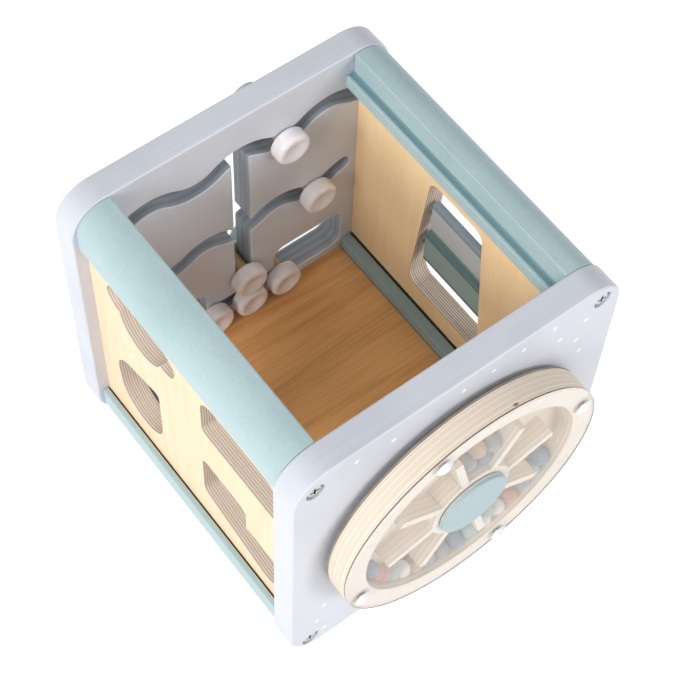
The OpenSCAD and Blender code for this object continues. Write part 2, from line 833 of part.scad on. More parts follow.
// Disc inside the cube that keeps the knob in its slot
module knob_disc(at) {
    r = disc_edge_r;
    color(MILK) difference() {
        turned(at[0], disc_face_y + disc_t, at[1]) {
            square([disc_r - r, disc_t]);
            translate([0, r]) square([disc_r, disc_t - 2 * r]);
            for (y = [r, disc_t - r]) translate([disc_r - r, y]) circle(r);
        }
        translate([at[0], disc_face_y + dish_depth - dish_ball_r, at[1]]) sphere(dish_ball_r);
        drill_y(at[0], at[1], shaft_d / 2 + fit, disc_face_y, disc_face_y + disc_t);
    }
}

trunk_lower_at = [maze_x, bar_knob_z];
trunk_upper_at = [maze_x, bar_knob_z + 2 * disc_r + seat];
right_bay_at = [maze_x + low_disc_step, bar_knob_z];
left_bay_at = [maze_x - low_disc_step, bar_knob_z];

module top_wave_knob() { knob_head(top_knob_at); }
module top_wave_shaft() { knob_shaft(top_knob_at); }
module top_wave_disc() { knob_disc(top_knob_at); }
module mid_wave_knob() { knob_head(mid_knob_at); }
module mid_wave_shaft() { knob_shaft(mid_knob_at); }
module mid_wave_disc() { knob_disc(mid_knob_at); }
module trunk_upper_knob() { knob_head(trunk_upper_at); }
module trunk_upper_shaft() { knob_shaft(trunk_upper_at); }
module trunk_upper_disc() { knob_disc(trunk_upper_at); }
module trunk_lower_knob() { knob_head(trunk_lower_at); }
module trunk_lower_shaft() { knob_shaft(trunk_lower_at); }
module trunk_lower_disc() { knob_disc(trunk_lower_at); }
module right_bay_knob() { knob_head(right_bay_at); }
module right_bay_shaft() { knob_shaft(right_bay_at); }
module right_bay_disc() { knob_disc(right_bay_at); }
module left_bay_knob() { knob_head(left_bay_at); }
module left_bay_shaft() { knob_shaft(left_bay_at); }
module left_bay_disc() { knob_disc(left_bay_at); }

front_panel();
rear_panel();
top_left_rail();
top_right_rail();
bottom_left_rail();
bottom_right_rail();
floor_panel();
shape_sorter_panel();
window_panel();
front_screws();
rear_screws();
wheel_bolt();
wheel_spacer();
wheel_washer();
wheel_nut();
wheel_back_plate();
wheel_ring();
wheel_hub();
wheel_spokes();
wheel_cover();
hub_cap();
cover_rivets();
beads_blue();
beads_rose();
beads_mint();
beads_white();
beads_grey();
beads_tan();
upper_board();
upper_board_pins();
lower_board();
lower_board_pins();
top_wave_knob();
top_wave_shaft();
top_wave_disc();
mid_wave_knob();
mid_wave_shaft();
mid_wave_disc();
trunk_upper_knob();
trunk_upper_shaft();
trunk_upper_disc();
trunk_lower_knob();
trunk_lower_shaft();
trunk_lower_disc();
right_bay_knob();
right_bay_shaft();
right_bay_disc();
left_bay_knob();
left_bay_shaft();
left_bay_disc();
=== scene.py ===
"""A wooden activity cube.

It has painted end panels and rails, plywood sides, a bead wheel on its front, two turning
boards in a window, and a maze of slots at the back with knobs that run in it.
"""

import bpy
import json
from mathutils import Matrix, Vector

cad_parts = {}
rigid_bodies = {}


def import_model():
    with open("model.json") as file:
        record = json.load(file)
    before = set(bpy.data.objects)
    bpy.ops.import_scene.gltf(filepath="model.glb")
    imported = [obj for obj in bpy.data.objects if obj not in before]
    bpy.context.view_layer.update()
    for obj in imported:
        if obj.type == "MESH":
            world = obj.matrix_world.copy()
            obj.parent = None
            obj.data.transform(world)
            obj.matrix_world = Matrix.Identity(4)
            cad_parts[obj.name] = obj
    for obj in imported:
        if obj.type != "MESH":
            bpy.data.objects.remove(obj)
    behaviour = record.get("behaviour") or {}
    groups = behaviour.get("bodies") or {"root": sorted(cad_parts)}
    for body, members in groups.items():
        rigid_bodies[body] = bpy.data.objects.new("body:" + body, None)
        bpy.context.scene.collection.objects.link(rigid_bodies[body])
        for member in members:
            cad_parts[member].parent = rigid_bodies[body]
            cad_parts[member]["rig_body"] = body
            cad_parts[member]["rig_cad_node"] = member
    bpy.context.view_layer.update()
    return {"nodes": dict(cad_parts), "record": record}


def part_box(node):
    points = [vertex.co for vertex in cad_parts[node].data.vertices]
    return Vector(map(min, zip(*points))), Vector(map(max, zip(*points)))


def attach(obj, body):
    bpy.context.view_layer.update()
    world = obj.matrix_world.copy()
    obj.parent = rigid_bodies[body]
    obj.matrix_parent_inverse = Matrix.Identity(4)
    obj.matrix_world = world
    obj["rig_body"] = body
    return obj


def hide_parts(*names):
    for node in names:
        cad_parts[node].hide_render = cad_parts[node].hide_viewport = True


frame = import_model()

import json
import math

import bpy
from mathutils import Matrix, Vector

NODES = frame["nodes"]
BODY_OF = {
    node: body
    for body, members in frame["record"]["behaviour"]["bodies"].items()
    for node in members
}
SLOT_OF = {
    name: piece.material_slots[0].material.name.split(".")[0]
    for name, piece in NODES.items()
}
KNOBS = ("top_wave", "mid_wave", "trunk_upper", "trunk_lower", "right_bay", "left_bay")

MM = 0.001
X, Y, Z = 0, 1, 2
MIX_FIRST, MIX_SECOND, MIX_COLOUR = 6, 7, 2  # a Mix node's sockets for colours


# Colours and shader sums


def shown(red, green, blue):
    """A colour given as it shows on screen, made linear for a shader by the usual screen curve."""
    linear = [
        ((part + 0.055) / 1.055) ** 2.4 if part > 0.04045 else part / 12.92
        for part in (red, green, blue)
    ]
    return (*linear, 1.0)


class Value:
    """A socket of a finish, so that sums on it read as plain arithmetic."""

    def __init__(self, finish, socket):
        self.finish = finish
        self.socket = socket

    def __add__(self, other):
        return self.finish.maths("ADD", self, other)

    def __radd__(self, other):
        return self.finish.maths("ADD", other, self)

    def __sub__(self, other):
        return self.finish.maths("SUBTRACT", self, other)

    def __rsub__(self, other):
        return self.finish.maths("SUBTRACT", other, self)

    def __mul__(self, other):
        return self.finish.maths("MULTIPLY", self, other)

    def __rmul__(self, other):
        return self.finish.maths("MULTIPLY", other, self)

    def __truediv__(self, other):
        return self.finish.maths("DIVIDE", self, other)

    def __gt__(self, other):
        return self.finish.maths("GREATER_THAN", self, other)

    def __lt__(self, other):
        return self.finish.maths("LESS_THAN", self, other)

    def __abs__(self):
        return self.finish.maths("ABSOLUTE", self)


class Finish:
    """One surface finish: a Principled shader and the nodes that vary it."""

    def __init__(self, name, **constants):
        self.material = bpy.data.materials.new(name)
        self.material.use_nodes = True
        self.tree = self.material.node_tree
        self.shader = self.tree.nodes["Principled BSDF"]
        for socket, value in constants.items():
            self.shader.inputs[socket.replace("_", " ")].default_value = value
        self.spot = self.node("ShaderNodeTexCoord", out="Object")
        self.x = self.part(self.spot, X)
        self.y = self.part(self.spot, Y)
        self.z = self.part(self.spot, Z)

    def node(self, kind, settings=None, inputs=None, out=0):
        """Adds a node: its settings first, then the values or links of its sockets."""
        made = self.tree.nodes.new(kind)
        for setting, value in (settings or {}).items():
            setattr(made, setting, value)
        for place, value in (inputs or {}).items():
            if isinstance(value, Value):
                self.tree.links.new(value.socket, made.inputs[place])
            else:
                made.inputs[place].default_value = value
        return Value(self, made.outputs[out])

    def maths(self, operation, *terms):
        return self.node("ShaderNodeMath", {"operation": operation}, dict(enumerate(terms)))

    def vectors(self, operation, first, second, out=0):
        return self.node(
            "ShaderNodeVectorMath", {"operation": operation}, {0: first, 1: second}, out=out,
        )

    def part(self, vector, axis):
        return self.node("ShaderNodeSeparateXYZ", inputs={0: vector}, out=axis)

    def noise(self, cells, detail=2.0, roughness=0.5):
        """Soft noise with so many cells to the metre, or so many along X, Y and Z."""
        even = isinstance(cells, float)
        spot = self.spot if even else self.vectors("MULTIPLY", self.spot, cells)
        return self.node("ShaderNodeTexNoise", inputs={
            "Vector": spot, "Scale": cells if even else 1.0,
            "Detail": detail, "Roughness": roughness,
        })

    def ramp(self, value, low, high):
        """0 below low, 1 above high, smooth between."""
        return self.node(
            "ShaderNodeMapRange", {"interpolation_type": "SMOOTHSTEP"},
            {"Value": value, "From Min": low, "From Max": high, "To Min": 0.0, "To Max": 1.0},
        )

    def round_spot(self, place, along, inner, outer):
        """1 inside a round spot and 0 outside it, whatever its depth along one axis."""
        keep = [1.0, 1.0, 1.0]
        keep[along] = 0.0
        flat_place = [part * kept for part, kept in zip(place, keep)]
        flat_spot = self.vectors("MULTIPLY", self.spot, keep)
        away = self.vectors("DISTANCE", flat_spot, flat_place, out="Value")
        return 1.0 - self.ramp(away, inner, outer)

    def blend(self, first, second, amount):
        """The first colour where the amount is 0, the second where it is 1."""
        inputs = {0: amount, MIX_FIRST: first, MIX_SECOND: second}
        return self.node("ShaderNodeMix", {"data_type": "RGBA"}, inputs, out=MIX_COLOUR)

    def shade(self, colour, tone):
        """The colour darkened or lightened by a tone round 1."""
        inputs = {0: colour, "Scale": tone}
        return self.node("ShaderNodeVectorMath", {"operation": "SCALE"}, inputs)

    def facing(self, axis):
        """How squarely a face looks along an axis, 0 to 1."""
        return abs(self.part(self.node("ShaderNodeTexCoord", out="Normal"), axis))

    def sawn(self, axis):
        """1 on edges, 0 on a sheet's two faces, which look along the axis."""
        return 1.0 - self.ramp(self.facing(axis), 0.6, 0.9)

    def feed(self, socket, value):
        self.tree.links.new(value.socket, self.shader.inputs[socket])

    def bump(self, height, depth):
        """Raises the surface by up to so many mm."""
        inputs = {"Height": height, "Distance": depth * MM, "Strength": 1.0}
        self.feed("Normal", self.node("ShaderNodeBump", inputs=inputs, out="Normal"))


# Finishes, with their places and sizes in mm

SATIN_SHEEN = 0.35
WOOD_SHEEN = 0.3
PAINT_CLOUDS = 16.0
ROLLER_TEXTURE = 900.0

PANEL_DOTS = (  # x, z and radius of each small dot on the front panel
    (78.2, 180.8, 1.5), (56.0, 194.3, 1.4), (61.9, 177.9, 1.5), (74.5, 165.1, 1.6),
    (36.6, 194.1, 1.4), (79.2, 150.4, 1.5), (18.2, 193.1, 1.4), (-0.1, 193.3, 1.5),
    (-41.7, 191.1, 1.5), (-63.4, 194.2, 1.4), (-78.7, 44.9, 1.6), (-83.0, 28.8, 1.5),
    (-78.0, 12.6, 1.5),
)
DOT_BLUR = 0.12
DOT_DEPTH = -99.0  # dots lie in front of this y
SIDE_DOTS = ((58.0, 120.4), (52.2, 107.7), (37.2, 117.4))  # y and z on the left board
SIDE_DOT_RADII = (1.5, 1.9)
SIDE_DOT_DEPTH = -92.0  # dots lie outside this x

LEDGE_ACROSS = (72.2, 75.8)  # a top rail's ledge, out from the middle
LEDGE_TOP = 188.5
LEDGE_PAINTED_SHADE = (1.6, 0.9)  # its painted shade starts and is full so far from that height
GROOVE_ACROSS = (79.2, 93.3)  # a rail's groove, out from the middle
LOW_GROOVE = (21.0, 33.2)  # bottom and top of the groove in a lower rail, where near black is painted as its shade
LIP_INSIDE = 79.0  # a lower rail's inner lip is nearer the middle than this
LIP_TOP = 40.0

SLOTS_REACH = 88.0  # the maze's slots are nearer the middle than this
SLOTS_LOW, SLOTS_HIGH = 25.0, 186.0
SLOT_SHEET = 2.2  # thickness of the sheets that show in a slot's wall

SIDE_PLY_START, SIDE_PLY_SHEET = 80.0, 0.735  # where the sheets start, and their thickness
GROOVED_EDGE = 27.5  # the left board is in its groove's shadow below this
GAP_SHADE_TOP = 35.0  # the painted shade in the gap along the foot of the right board
GAP_SHADE_INSIDE = 80.5

WHEEL_PLY_START, WHEEL_PLY_SHEET = -117.5, 1.47
KNOT_PLACE = (19.6, -116.2, 182.6)  # a small flat knot in the ring's edge
KNOT_CELLS = (420.0, 900.0, 420.0)
SCORCH_AND_SHADE_EDGE = 1.3  # depth of the dark band along the back plate's edge: its scorch and painted shade of the gap to the panel
HAZE_LIGHT_DEPTH = 0.6  # depth of the face under the clear cover that is painted paler, as the light of the cover's haze
COVER_CUT = -118.1  # the cover's cut edge is scorched behind this y

BOARD_HALF = 13.25  # half the height of a turning board
BOARD_EDGE_SHADE = (4.4, 3.4)  # its painted edge shade starts and is full so far from its edge
UPPER_BOARD_MIDDLE, LOWER_BOARD_MIDDLE = 119.75, 88.25

DISH_SHADE_RADII = (1.0, 6.0)  # the painted shade in a disc's dish is full within one and gone past the other
PLASTIC_GLOW_DEPTH = 2.2


def clouded_paint(paint, colour, deep):
    """Paint with faint clouds in it: its colour, the clouds and the roller's fine texture."""
    clouds = paint.noise(PAINT_CLOUDS, 3.0)
    fine = paint.noise(ROLLER_TEXTURE)
    body = paint.blend(shown(*deep), shown(*colour), paint.ramp(clouds, 0.3, 0.62))
    return body, clouds, fine


def satin_gloss(clouds, fine):
    """Roughness of satin paint."""
    return 0.42 + 0.12 * (clouds - 0.5) + 0.05 * fine


def satin_paint(name, colour, deep, dots=(), slot_shade_tones=None):
    """Satin paint on sanded wood: faint clouds, a slight roller texture, and tops darkened as
    painted shade, with faint streaks.
    """
    paint = Finish(name, Specular_IOR_Level=SATIN_SHEEN)
    body, clouds, fine = clouded_paint(paint, colour, deep)
    fibre = paint.noise((60.0, 900.0, 900.0))
    body = paint.shade(body, 0.965 + 0.05 * fine)
    # Faces that look up get painted shade, darker still along faint real streaks.
    top_shade_and_streaks = paint.ramp(paint.facing(Z), 0.75, 0.97)
    streaks = paint.ramp(paint.noise((9.0, 520.0, 520.0), 3.0, 0.6), 0.3, 0.75)
    body = paint.shade(body, 1.0 - top_shade_and_streaks * (0.025 + 0.05 * streaks))
    # The slot walls get their sawn sheets with painted shade.
    if slot_shade_tones:
        body = paint.blend(body, slot_wall_sheets_and_shade(paint, *slot_shade_tones), slot_mask(paint))
    if dots:
        body = paint.blend(body, shown(0.985, 0.985, 0.99), dot_mask(paint, dots))
    paint.feed("Base Color", body)
    paint.feed("Roughness", satin_gloss(clouds, fine))
    paint.bump(0.6 * fine + 0.4 * fibre, 0.05)
    return paint.material


def slot_wall_sheets_and_shade(paint, darker_sheet_shade, paler_sheet_shade):
    """A slot wall's sawn sheets in two tones, both darkened as painted shade."""
    sheet = paint.maths("PINGPONG", paint.y / (SLOT_SHEET * MM), 1.0)
    speck = paint.noise((90.0, 600.0, 90.0))
    amount = 0.55 * paint.ramp(sheet, 0.3, 0.7) + 0.5 * speck
    return paint.blend(shown(*darker_sheet_shade), shown(*paler_sheet_shade), amount)


def slot_mask(paint):
    """1 on the walls of the maze's slots, 0 on the panel's faces and outer edges."""
    wall = 1.0 - paint.ramp(paint.facing(Y), 0.15, 0.5)
    within = abs(paint.x) < SLOTS_REACH * MM
    height = (paint.z > SLOTS_LOW * MM) * (paint.z < SLOTS_HIGH * MM)
    return wall * within * height * (paint.y > 0.0)


def dot_mask(paint, dots):
    """1 on small dots on the front panel's face."""
    spots = sum(
        paint.round_spot(
            (x * MM, 0.0, z * MM), Y, (radius - DOT_BLUR) * MM, (radius + DOT_BLUR) * MM,
        )
        for x, z, radius in dots
    )
    return spots * (paint.y < DOT_DEPTH * MM)


def rail_paint(name, colour, deep):
    """The rails' speckled satin paint, with painted shade on the ledges, lips and lower grooves.
    """
    paint = Finish(name, Specular_IOR_Level=SATIN_SHEEN)
    body, clouds, fine = clouded_paint(paint, colour, deep)
    speckle = paint.noise(420.0, 3.0, 0.7)
    body = paint.shade(body, 0.90 + 0.20 * speckle)
    out = abs(paint.x)
    faded, full = (part * MM for part in LEDGE_PAINTED_SHADE)
    ledge_height = paint.ramp(abs(paint.z - LEDGE_TOP * MM), faded, full)
    ledge_painted_shade = (out > LEDGE_ACROSS[0] * MM) * (out < LEDGE_ACROSS[1] * MM) * ledge_height
    groove = (out > GROOVE_ACROSS[0] * MM) * (out < GROOVE_ACROSS[1] * MM)
    low_groove_shade = groove * (paint.z < LOW_GROOVE[1] * MM) * (paint.z > LOW_GROOVE[0] * MM)
    lip_shade = (out < LIP_INSIDE * MM) * (paint.z < LIP_TOP * MM)
    # Painted shade on the top rails' ledges.
    body = paint.blend(body, shown(0.42, 0.56, 0.59), 0.85 * ledge_painted_shade)
    # Painted shade, near black, in the lower rails' grooves.
    body = paint.blend(body, shown(0.10, 0.12, 0.12), 0.92 * low_groove_shade)
    # Painted shade on the lower rails' inner lips.
    body = paint.blend(body, shown(0.46, 0.56, 0.58), 0.55 * lip_shade)
    paint.feed("Base Color", body)
    paint.feed("Roughness", satin_gloss(clouds, fine))
    paint.bump(0.5 * fine + 0.5 * speckle, 0.06)
    return paint.material


def board_paint(name, colour, deep, middle):
    """A turning board's satin paint, with painted shade along its two long rounded edges."""
    paint = Finish(name, Specular_IOR_Level=SATIN_SHEEN)
    clouds = paint.noise(24.0, 3.0)
    fine = paint.noise(ROLLER_TEXTURE)
    shade_start, shade_end = ((BOARD_HALF - part) * MM for part in BOARD_EDGE_SHADE)
    # Painted shade along the board's two long edges, in its second colour.
    edge = paint.ramp(abs(paint.z - middle * MM), shade_start, shade_end)
    body = paint.blend(shown(*colour), shown(*deep), 0.8 * edge + 0.15 * clouds)
    paint.feed("Base Color", paint.shade(body, 0.965 + 0.07 * fine))
    paint.feed("Roughness", 0.4 + 0.1 * clouds)
    paint.bump(fine, 0.05)
    return paint.material


def bead_paint(name, colour, deep):
    """Glossy water-based paint on a turned bead, with the wood's grain just showing."""
    paint = Finish(name, Specular_IOR_Level=0.45)
    grain = paint.noise((500.0, 500.0, 60.0))
    clouds = paint.noise(120.0)
    body = paint.blend(shown(*deep), shown(*colour), paint.ramp(clouds, 0.3, 0.6))
    paint.feed("Base Color", paint.shade(body, 0.93 + 0.12 * grain))
    paint.feed("Roughness", 0.3 + 0.15 * grain)
    paint.bump(grain, 0.03)
    return paint.material


def long_grain(wood, along, pale, dark, contrast):
    """Sanded wood with its grain along one axis: fibres, broad figure and slow colour drift."""
    fibre_cells = [700.0, 700.0, 700.0]
    fibre_cells[along] = 22.0
    figure_cells = [26.0, 26.0, 26.0]
    figure_cells[along] = 2.6
    fibre = wood.noise(fibre_cells, 3.0, 0.6)
    rings = wood.maths("SINE", wood.noise(figure_cells, 2.0, 0.45) * 46.0)
    drift = wood.noise(7.0)
    depth = (
        0.34 * wood.ramp(rings, -0.2, 1.0)
        + 0.5 * wood.ramp(fibre, 0.36, 0.7)
        + 0.5 * wood.ramp(drift, 0.35, 0.7)
    )
    return wood.blend(shown(*pale), shown(*dark), depth * contrast), fibre


def plain_wood(name, along, pale, dark, contrast, gloss, depth):
    """Bare sanded wood with its grain along one axis."""
    wood = Finish(name, Specular_IOR_Level=WOOD_SHEEN)
    colour, fibre = long_grain(wood, along, pale, dark, contrast)
    smooth, rough = gloss
    wood.feed("Base Color", colour)
    wood.feed("Roughness", smooth + (rough - smooth) * fibre)
    wood.bump(fibre, depth)
    return wood.material


def ply_layers(wood, across, start, sheet, tones, glue):
    """Colour of a plywood edge: sheets of changing tone with a thin glue line between each two."""
    wander = wood.noise(60.0)
    depth = (across - start * MM) / (sheet * MM) + 0.3 * (wander - 0.5)
    index = wood.maths("FLOOR", depth)
    within = wood.maths("FRACT", depth)
    odd = wood.maths("PINGPONG", index, 1.0)
    chance = wood.node(
        "ShaderNodeTexWhiteNoise", {"noise_dimensions": "1D"}, {"W": index}, out="Value",
    )
    speck = wood.noise(1500.0)
    colour = wood.blend(shown(*tones[0]), shown(*tones[1]), odd)
    colour = wood.blend(colour, shown(*tones[2]), 0.45 * chance)
    colour = wood.shade(colour, 0.86 + 0.26 * speck)
    line = wood.ramp(abs(within - 0.5), 0.36, 0.46)
    return wood.blend(colour, shown(*glue), 0.75 * line)


def side_ply(name, left_light_tones, right_light_tones):
    """Birch plywood with an upright grain on its faces and its sheets in the sawn edges, lit and
    shaded copies of it on the two boards, and painted shade where the boards meet the rails.
    """
    wood = Finish(name, Specular_IOR_Level=WOOD_SHEEN)
    left = wood.x < 0.0
    right = wood.x > 0.0
    # The left board's outside and the right board's inside: one birch in two tones for how light
    # falls on them, painted light and shade.
    left_face, fibre = long_grain(wood, Z, *left_light_tones)
    right_face, _ = long_grain(wood, Z, *right_light_tones)
    face = wood.blend(left_face, right_face, right)
    face = wood.blend(face, shown(0.99, 0.98, 0.96), side_dot_mask(wood))
    tones = ((0.72, 0.62, 0.55), (1.0, 0.95, 0.88), (0.86, 0.80, 0.76))
    glue = (0.92, 0.85, 0.78)
    edge = ply_layers(wood, wood.x, SIDE_PLY_START, SIDE_PLY_SHEET, tones, glue)
    # Painted light on the left board's sawn edges, painted shade on the right board's.
    edge = wood.blend(edge, shown(0.96, 0.90, 0.83), 0.34 * left)
    edge = wood.shade(edge, 1.0 - 0.2 * right)
    sawn = wood.sawn(X)
    # Painted shade: near black where the left board sits in its groove, and in the gap at the
    # right board's foot.
    grooved = (wood.z < GROOVED_EDGE * MM) * left
    gap_shade = (wood.z < GAP_SHADE_TOP * MM) * right * (wood.x < GAP_SHADE_INSIDE * MM)
    dark = 0.9 * grooved + 0.85 * gap_shade
    body = wood.blend(wood.blend(face, edge, sawn), shown(0.10, 0.08, 0.06), dark)
    wood.feed("Base Color", body)
    wood.feed("Roughness", 0.45 + 0.2 * fibre + 0.2 * sawn)
    wood.bump(fibre, 0.07)
    return wood.material


def side_dot_mask(wood):
    """1 on the few small dots outside the left board."""
    inner, outer = (radius * MM for radius in SIDE_DOT_RADII)
    spots = sum(wood.round_spot((0.0, y * MM, z * MM), X, inner, outer) for y, z in SIDE_DOTS)
    return spots * (wood.x < SIDE_DOT_DEPTH * MM)


def wheel_ply(name):
    """Pale birch plywood of the wheel: grain along X on its faces, sheets in its edges, a dark
    band on the back plate's edge that is scorch and painted shade, and painted haze light under
    the cover.
    """
    wood = Finish(name, Specular_IOR_Level=WOOD_SHEEN)
    face, fibre = long_grain(wood, X, (0.97, 0.93, 0.87), (0.91, 0.84, 0.76), 0.8)
    tones = ((0.91, 0.85, 0.77), (0.94, 0.90, 0.84), (0.88, 0.82, 0.75))
    glue = (0.87, 0.79, 0.71)
    edge = ply_layers(wood, wood.y, WHEEL_PLY_START, WHEEL_PLY_SHEET, tones, glue)
    sawn = wood.sawn(Y)
    plate_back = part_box("wheel_back_plate")[1].y
    # A dark band at the back plate's edge: its scorched cut, with painted shade of the gap to the
    # panel.
    scorched = sawn * (wood.y > plate_back - SCORCH_AND_SHADE_EDGE * MM) * (0.45 + 0.5 * wood.noise(60.0))
    body = wood.blend(wood.blend(face, edge, sawn), shown(0.24, 0.19, 0.16), scorched)
    # Painted light of the cover's haze on the faces under it.
    haze_light = (wood.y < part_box("wheel_ring")[0].y + HAZE_LIGHT_DEPTH * MM) * (1.0 - sawn)
    body = wood.blend(body, shown(1.0, 0.985, 0.96), 0.45 * haze_light)
    knot_place = [place * cells * MM for place, cells in zip(KNOT_PLACE, KNOT_CELLS)]
    stretched = wood.vectors("MULTIPLY", wood.spot, KNOT_CELLS)
    from_knot = wood.vectors("DISTANCE", stretched, knot_place, out="Value")
    knot = 1.0 - wood.ramp(from_knot, 0.45, 1.0)
    wood.feed("Base Color", wood.blend(body, shown(0.52, 0.36, 0.22), 0.85 * knot))
    wood.feed("Roughness", 0.44 + 0.2 * fibre)
    wood.bump(fibre, 0.06)
    return wood.material


def plated_steel(name):
    """Brushed and plated steel with slightly dull patches."""
    steel = Finish(name, Metallic=1.0)
    brushed = steel.noise((900.0, 200.0, 900.0), 3.0)
    patches = steel.noise(260.0)
    tone = steel.blend(shown(0.58, 0.59, 0.60), shown(0.86, 0.86, 0.86), brushed)
    steel.feed("Base Color", tone)
    steel.feed("Roughness", 0.22 + 0.22 * patches)
    steel.bump(brushed, 0.03)
    return steel.material


def dish_shade_mask(plastic):
    """1 in the middle of each knob's disc, where shade is painted in its dish."""
    inner, outer = (radius * MM for radius in DISH_SHADE_RADII)
    spots = []
    for knob in KNOBS:
        low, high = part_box(knob + "_disc")
        spots.append(plastic.round_spot((low + high) / 2, Y, inner, outer))
    return sum(spots)


def milky_plastic(name, colour, deep, dish_shade):
    """Slightly see-through moulded plastic, with soft light inside it, faint mould marks and
    painted shade in the knobs' dishes.
    """
    plastic = Finish(
        name, Subsurface_Weight=0.35, Subsurface_Radius=(0.8, 0.7, 0.65),
        Subsurface_Scale=PLASTIC_GLOW_DEPTH * MM, Specular_IOR_Level=0.4,
    )
    clouds = plastic.noise(210.0)
    fine = plastic.noise(1400.0)
    body = plastic.blend(shown(*deep), shown(*colour), plastic.ramp(clouds, 0.3, 0.65))
    # Painted shade in the knobs' dishes.
    plastic.feed("Base Color", plastic.blend(body, shown(*dish_shade), 0.15 * dish_shade_mask(plastic)))
    plastic.feed("Roughness", 0.34 + 0.14 * fine)
    plastic.bump(0.5 * fine + 0.5 * clouds, 0.05)
    return plastic.material


def clear_cover(name):
    """The wheel's clear sheet: a pale haze, faint scuffs, a soft gloss and a scorched cut edge."""
    sheet = Finish(name, Specular_IOR_Level=0.3)
    scuffs = sheet.noise((30.0, 30.0, 500.0), 3.0)
    haze = sheet.noise(22.0)
    rim = sheet.sawn(Y)
    cut = rim * (sheet.y > COVER_CUT * MM)
    clear = sheet.blend(shown(0.97, 0.95, 0.94), shown(1.0, 0.99, 0.98), haze)
    sheet.feed("Base Color", sheet.blend(clear, shown(0.36, 0.30, 0.26), cut))
    sheet.feed("Roughness", 0.2 + 0.2 * scuffs)
    sheet.feed("Alpha", 0.13 + 0.05 * haze + 0.03 * scuffs + 0.1 * rim + 0.7 * cut)
    return sheet.material


FINISHES = {
    "panel_paint": satin_paint(
        "panel_paint", (0.85, 0.865, 0.90), (0.82, 0.835, 0.875), PANEL_DOTS,
        # The slot walls' two sheet tones, darkened as painted shade.
        ((0.56, 0.59, 0.62), (0.68, 0.71, 0.74)),
    ),
    "rail_paint": rail_paint("rail_paint", (0.71, 0.80, 0.815), (0.67, 0.77, 0.785)),
    "floor_wood": plain_wood(
        "floor_wood", X, (0.93, 0.71, 0.47), (0.80, 0.565, 0.34), 0.8, (0.46, 0.62), 0.08,
    ),
    "side_ply": side_ply(
        # The birch's tones as light falls on the left board's outside, then on the right board's
        # inside: painted light and shade.
        "side_ply", ((1.0, 0.885, 0.76), (0.96, 0.80, 0.64), 0.5),
        ((1.0, 0.895, 0.715), (0.98, 0.82, 0.62), 0.6),
    ),
    "steel": plated_steel("steel"),
    "wheel_wood": wheel_ply("wheel_wood"),
    "white_plastic": milky_plastic(
        "white_plastic", (0.95, 0.95, 0.95), (0.92, 0.92, 0.92), (0.92, 0.92, 0.92),
    ),
    "clear_cover": clear_cover("clear_cover"),
    "cap_paint": satin_paint("cap_paint", (0.68, 0.765, 0.785), (0.65, 0.74, 0.76)),
    "bead_blue": bead_paint("bead_blue", (0.50, 0.58, 0.66), (0.46, 0.54, 0.62)),
    "bead_rose": bead_paint("bead_rose", (0.80, 0.58, 0.50), (0.75, 0.53, 0.46)),
    "bead_mint": bead_paint("bead_mint", (0.68, 0.78, 0.76), (0.64, 0.74, 0.73)),
    "bead_white": bead_paint("bead_white", (0.93, 0.92, 0.90), (0.90, 0.89, 0.87)),
    "bead_grey": bead_paint("bead_grey", (0.62, 0.63, 0.64), (0.57, 0.58, 0.60)),
    "bead_tan": bead_paint("bead_tan", (0.80, 0.68, 0.54), (0.75, 0.62, 0.48)),
    # A board's second colour is the painted shade along its long edges, which also tints its
    # clouds.
    "board_grey": board_paint(
        "board_grey", (0.78, 0.81, 0.825), (0.50, 0.56, 0.60), UPPER_BOARD_MIDDLE,
    ),
    "board_teal": board_paint(
        "board_teal", (0.60, 0.71, 0.70), (0.36, 0.49, 0.49), LOWER_BOARD_MIDDLE,
    ),
    "knob_paint": satin_paint("knob_paint", (0.74, 0.83, 0.82), (0.70, 0.80, 0.79)),
    "shaft_wood": plain_wood(
        "shaft_wood", Y, (0.88, 0.76, 0.60), (0.78, 0.62, 0.44), 1.0, (0.45, 0.63), 0.06,
    ),
    # The third colour is the painted shade in the dish.
    "disc_white": milky_plastic(
        "disc_white", (0.97, 0.95, 0.955), (0.94, 0.915, 0.92), (0.80, 0.74, 0.73),
    ),
}

for node, piece in NODES.items():
    piece.material_slots[0].material = FINISHES[SLOT_OF[node]]


# Pieces, with their sizes in mm and their angles in degrees

EASED = {  # how far each solid's sharp edges are rounded
    "front_panel": 1.4, "rear_panel": 1.5,
    "top_left_rail": 0.9, "top_right_rail": 0.9,
    "bottom_left_rail": 0.9, "bottom_right_rail": 0.9,
    "floor_panel": 0.4, "shape_sorter_panel": 0.35, "window_panel": 0.35,
    "upper_board": 0.7, "lower_board": 0.7,
    "wheel_ring": 0.4, "wheel_back_plate": 0.3, "wheel_spokes": 0.4, "wheel_hub": 0.2,
    "hub_cap": 0.3,
}
KNOB_HEAD_EASED = 0.8
ROUNDING_STEPS = 3
SHARP_EDGE = 30.0  # edges that turn by more than this are rounded
SMOOTH_EDGE = 28.0  # edges that turn by less than this are shaded smooth
MOULDED_EDGE = 60.0  # the same on the discs
INNER_CORNER = 60.0
FLAT_FACE = 0.6  # faces that turn by less than this are joined
WELD = 0.005
NEAR = 0.01
CORNER_ROOM = 1.6  # free room at an inner corner, in roundings
SCREW_HEAD = 4.5  # radius of a screw's head
SCREW_RIM, PIN_RIM = 6.5, 1.7  # how far round a hole's middle its rim stays crisp
COVER_GAP = 0.05  # between the clear cover and the wheel's faces behind it

